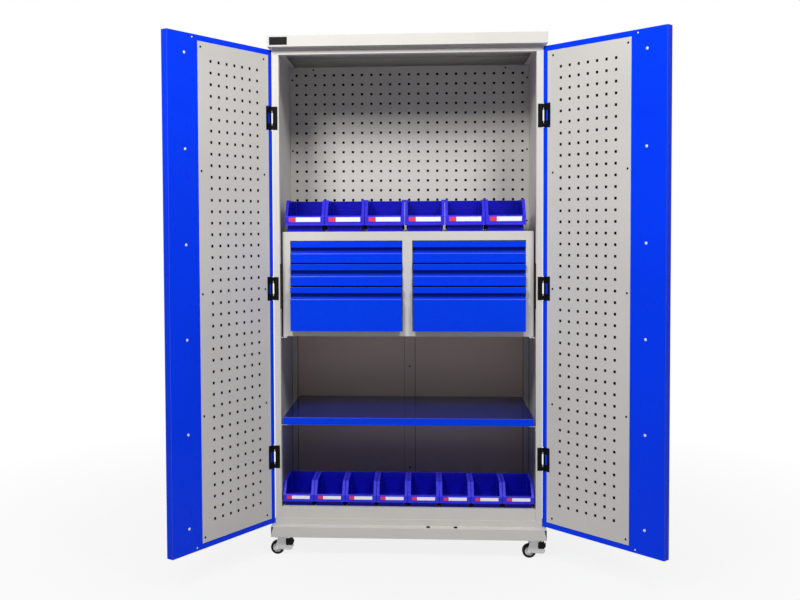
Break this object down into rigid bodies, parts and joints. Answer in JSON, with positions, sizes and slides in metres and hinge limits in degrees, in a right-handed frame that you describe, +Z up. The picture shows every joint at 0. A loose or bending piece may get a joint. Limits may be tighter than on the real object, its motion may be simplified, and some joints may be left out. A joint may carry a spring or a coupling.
{
  "type": "tool cabinet",
  "caption": "Upright steel tool cabinet with swing doors, pegboards, drawers, a shelf, open-front bins, swivel casters and a lever lock with rods.",
  "frame": {"origin": "on the ground below the middle of the cap, where the casters stand", "axes": "+Z up; -Y towards the front, where the doors are; +X to the right seen from the front"},
  "size_m": [1.6398, 0.8825, 1.89],
  "materials": {
    "body_grey": "satin",
    "door_blue": "satin",
    "drawer_blue": "satin",
    "shelf_blue": "satin",
    "bin_blue": "gloss",
    "black_metal": "satin",
    "zinc_steel": "satin",
    "black_plastic": "matte",
    "fork_white": "satin",
    "tyre_black": "matte"
  },
  "bodies": {
    "cabinet": {"side_panel_left": "body_grey", "side_panel_right": "body_grey", "back_panel": "body_grey", "top_cap": "body_grey", "lintel_rail": "body_grey", "plinth_frame": "body_grey", "floor_pan": "body_grey", "rear_pegboard": "body_grey", "drawer_case": "body_grey", "shelf": "shelf_blue", "support_brackets": "zinc_steel", "slide_channels": "zinc_steel", "hinge_brackets": "black_metal", "caster_plates": "zinc_steel", "nameplate_blank": "black_metal", "cabinet_screws": "black_metal"},
    "door_left": {"door_left_skin": "door_blue", "door_left_pegboard": "body_grey", "door_left_hinge_leaves": "black_metal", "door_left_fixings": "black_metal"},
    "door_right": {"door_right_skin": "door_blue", "door_right_pegboard": "body_grey", "door_right_hinge_leaves": "black_metal", "door_right_fixings": "black_metal", "handle_base": "black_plastic", "lock_case": "zinc_steel"},
    "handle": {"handle_lever": "black_plastic", "lock_pinion": "zinc_steel"},
    "rod_upper": {"lock_rod_upper": "zinc_steel"},
    "rod_lower": {"lock_rod_lower": "zinc_steel"},
    "drawer_left_top": {"drawer_left_top": "drawer_blue"},
    "drawer_left_middle": {"drawer_left_middle": "drawer_blue"},
    "drawer_left_bottom": {"drawer_left_bottom": "drawer_blue"},
    "drawer_right_top": {"drawer_right_top": "drawer_blue"},
    "drawer_right_middle": {"drawer_right_middle": "drawer_blue"},
    "drawer_right_bottom": {"drawer_right_bottom": "drawer_blue"},
    "bin_upper_1": {"bin_upper_1": "bin_blue"},
    "bin_upper_2": {"bin_upper_2": "bin_blue"},
    "bin_upper_3": {"bin_upper_3": "bin_blue"},
    "bin_upper_4": {"bin_upper_4": "bin_blue"},
    "bin_upper_5": {"bin_upper_5": "bin_blue"},
    "bin_upper_6": {"bin_upper_6": "bin_blue"},
    "bin_lower_1": {"bin_lower_1": "bin_blue"},
    "bin_lower_2": {"bin_lower_2": "bin_blue"},
    "bin_lower_3": {"bin_lower_3": "bin_blue"},
    "bin_lower_4": {"bin_lower_4": "bin_blue"},
    "bin_lower_5": {"bin_lower_5": "bin_blue"},
    "bin_lower_6": {"bin_lower_6": "bin_blue"},
    "bin_lower_7": {"bin_lower_7": "bin_blue"},
    "bin_lower_8": {"bin_lower_8": "bin_blue"},
    "fork_front_left": {"caster_fork_front_left": "fork_white"},
    "fork_front_right": {"caster_fork_front_right": "fork_white"},
    "fork_rear_left": {"caster_fork_rear_left": "fork_white"},
    "fork_rear_right": {"caster_fork_rear_right": "fork_white"},
    "wheel_front_left": {"caster_wheel_front_left": "tyre_black"},
    "wheel_front_right": {"caster_wheel_front_right": "tyre_black"},
    "wheel_rear_left": {"caster_wheel_rear_left": "tyre_black"},
    "wheel_rear_right": {"caster_wheel_rear_right": "tyre_black"},
    "pedal_left": {"brake_pedal_left": "black_plastic"},
    "pedal_right": {"brake_pedal_right": "black_plastic"}
  },
  "joints": [
    {"name": "door_left_swing", "type": "hinge", "parent": "cabinet", "child": "door_left", "pos_m": [-0.492, -0.2215, 0.98], "axis": [0, 0, -1], "range_deg": [-123, 17]},
    {"name": "door_right_swing", "type": "hinge", "parent": "cabinet", "child": "door_right", "pos_m": [0.492, -0.2215, 0.98], "axis": [0, 0, 1], "range_deg": [-134.5, 5.5]},
    {"name": "handle_turn", "type": "hinge", "parent": "door_right", "child": "handle", "pos_m": [0.807, -0.52065, 0.98], "axis": [-0.7133, -0.7009, 0], "range_deg": [0, 90]},
    {"name": "rod_upper_slide", "type": "slide", "parent": "door_right", "child": "rod_upper", "axis": [0, 0, 1], "range_m": [0, 0.0161]},
    {"name": "rod_lower_slide", "type": "slide", "parent": "door_right", "child": "rod_lower", "axis": [0, 0, -1], "range_m": [0, 0.0161]},
    {"name": "drawer_left_top_slide", "type": "slide", "parent": "cabinet", "child": "drawer_left_top", "axis": [0, -1, 0], "range_m": [0, 0.3]},
    {"name": "drawer_left_middle_slide", "type": "slide", "parent": "cabinet", "child": "drawer_left_middle", "axis": [0, -1, 0], "range_m": [-0.014, 0.286]},
    {"name": "drawer_left_bottom_slide", "type": "slide", "parent": "cabinet", "child": "drawer_left_bottom", "axis": [0, -1, 0], "range_m": [-0.028, 0.272]},
    {"name": "drawer_right_top_slide", "type": "slide", "parent": "cabinet", "child": "drawer_right_top", "axis": [0, -1, 0], "range_m": [0, 0.3]},
    {"name": "drawer_right_middle_slide", "type": "slide", "parent": "cabinet", "child": "drawer_right_middle", "axis": [0, -1, 0], "range_m": [-0.014, 0.286]},
    {"name": "drawer_right_bottom_slide", "type": "slide", "parent": "cabinet", "child": "drawer_right_bottom", "axis": [0, -1, 0], "range_m": [-0.028, 0.272]},
    {"name": "bin_upper_1_lift", "type": "slide", "parent": "cabinet", "child": "bin_upper_1", "axis": [0, 0, 1], "range_m": [0, 0.12]},
    {"name": "bin_upper_2_lift", "type": "slide", "parent": "cabinet", "child": "bin_upper_2", "axis": [0, 0, 1], "range_m": [0, 0.12]},
    {"name": "bin_upper_3_lift", "type": "slide", "parent": "cabinet", "child": "bin_upper_3", "axis": [0, 0, 1], "range_m": [0, 0.12]},
    {"name": "bin_upper_4_lift", "type": "slide", "parent": "cabinet", "child": "bin_upper_4", "axis": [0, 0, 1], "range_m": [0, 0.12]},
    {"name": "bin_upper_5_lift", "type": "slide", "parent": "cabinet", "child": "bin_upper_5", "axis": [0, 0, 1], "range_m": [0, 0.12]},
    {"name": "bin_upper_6_lift", "type": "slide", "parent": "cabinet", "child": "bin_upper_6", "axis": [0, 0, 1], "range_m": [0, 0.12]},
    {"name": "bin_lower_1_lift", "type": "slide", "parent": "cabinet", "child": "bin_lower_1", "axis": [0, 0, 1], "range_m": [0, 0.12]},
    {"name": "bin_lower_2_lift", "type": "slide", "parent": "cabinet", "child": "bin_lower_2", "axis": [0, 0, 1], "range_m": [0, 0.12]},
    {"name": "bin_lower_3_lift", "type": "slide", "parent": "cabinet", "child": "bin_lower_3", "axis": [0, 0, 1], "range_m": [0, 0.12]},
    {"name": "bin_lower_4_lift", "type": "slide", "parent": "cabinet", "child": "bin_lower_4", "axis": [0, 0, 1], "range_m": [0, 0.12]},
    {"name": "bin_lower_5_lift", "type": "slide", "parent": "cabinet", "child": "bin_lower_5", "axis": [0, 0, 1], "range_m": [0, 0.12]},
    {"name": "bin_lower_6_lift", "type": "slide", "parent": "cabinet", "child": "bin_lower_6", "axis": [0, 0, 1], "range_m": [0, 0.12]},
    {"name": "bin_lower_7_lift", "type": "slide", "parent": "cabinet", "child": "bin_lower_7", "axis": [0, 0, 1], "range_m": [0, 0.12]},
    {"name": "bin_lower_8_lift", "type": "slide", "parent": "cabinet", "child": "bin_lower_8", "axis": [0, 0, 1], "range_m": [0, 0.12]},
    {"name": "caster_front_left_swivel", "type": "hinge", "parent": "cabinet", "child": "fork_front_left", "pos_m": [-0.46, -0.21, 0.073], "axis": [0, 0, 1], "continuous": true},
    {"name": "wheel_front_left_spin", "type": "hinge", "parent": "fork_front_left", "child": "wheel_front_left", "pos_m": [-0.48, -0.21, 0.025], "axis": [0, 1, 0], "continuous": true},
    {"name": "caster_front_right_swivel", "type": "hinge", "parent": "cabinet", "child": "fork_front_right", "pos_m": [0.46, -0.21, 0.073], "axis": [0, 0, 1], "continuous": true},
    {"name": "wheel_front_right_spin", "type": "hinge", "parent": "fork_front_right", "child": "wheel_front_right", "pos_m": [0.44, -0.21, 0.025], "axis": [0, 1, 0], "continuous": true},
    {"name": "caster_rear_left_swivel", "type": "hinge", "parent": "cabinet", "child": "fork_rear_left", "pos_m": [-0.46, 0.21, 0.073], "axis": [0, 0, 1], "continuous": true},
    {"name": "wheel_rear_left_spin", "type": "hinge", "parent": "fork_rear_left", "child": "wheel_rear_left", "pos_m": [-0.48, 0.21, 0.025], "axis": [0, 1, 0], "continuous": true},
    {"name": "caster_rear_right_swivel", "type": "hinge", "parent": "cabinet", "child": "fork_rear_right", "pos_m": [0.46, 0.21, 0.073], "axis": [0, 0, 1], "continuous": true},
    {"name": "wheel_rear_right_spin", "type": "hinge", "parent": "fork_rear_right", "child": "wheel_rear_right", "pos_m": [0.44, 0.21, 0.025], "axis": [0, 1, 0], "continuous": true},
    {"name": "brake_left_press", "type": "hinge", "parent": "fork_front_left", "child": "pedal_left", "pos_m": [-0.44, -0.21, 0.03], "axis": [0, 1, 0], "range_deg": [0, 15]},
    {"name": "brake_right_press", "type": "hinge", "parent": "fork_front_right", "child": "pedal_right", "pos_m": [0.48, -0.21, 0.03], "axis": [0, 1, 0], "range_deg": [0, 15]}
  ],
  "couplings": [
    {"joint": "rod_upper_slide", "follows": "handle_turn", "m_per_rad": 0.0102},
    {"joint": "rod_lower_slide", "follows": "handle_turn", "m_per_rad": 0.0102}
  ]
}
